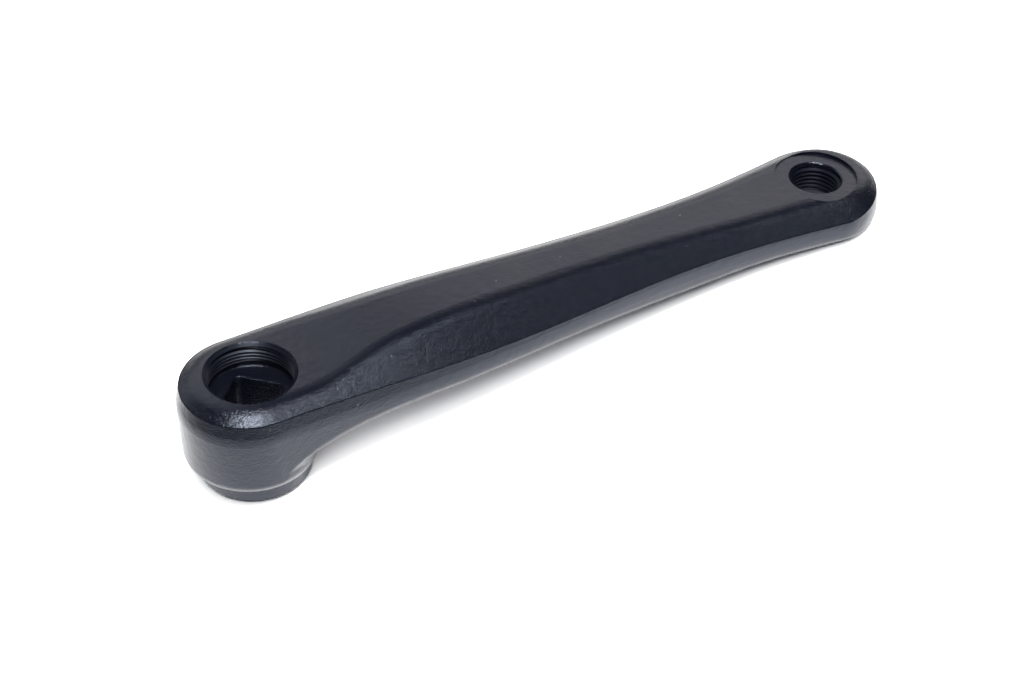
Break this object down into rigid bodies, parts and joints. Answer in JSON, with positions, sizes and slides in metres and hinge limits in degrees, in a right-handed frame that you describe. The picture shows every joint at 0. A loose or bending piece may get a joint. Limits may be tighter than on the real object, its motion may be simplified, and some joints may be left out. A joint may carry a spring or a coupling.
{
  "type": "bicycle crank arm",
  "caption": "Forged crank arm with a square taper spindle socket, a threaded extractor bore in the boss and a threaded pedal eye.",
  "frame": {"origin": "on the spindle axis, at the inner face of the machined boss ring", "axes": "+Z along the spindle axis, away from the bicycle frame; +X from the spindle axis to the pedal axis"},
  "size_m": [0.206, 0.036, 0.0329],
  "materials": {
    "black_satin_paint": "satin black coating with a fine grain over forged aluminium"
  },
  "bodies": {
    "root": {"crank_arm": "black_satin_paint"}
  },
  "joints": []
}
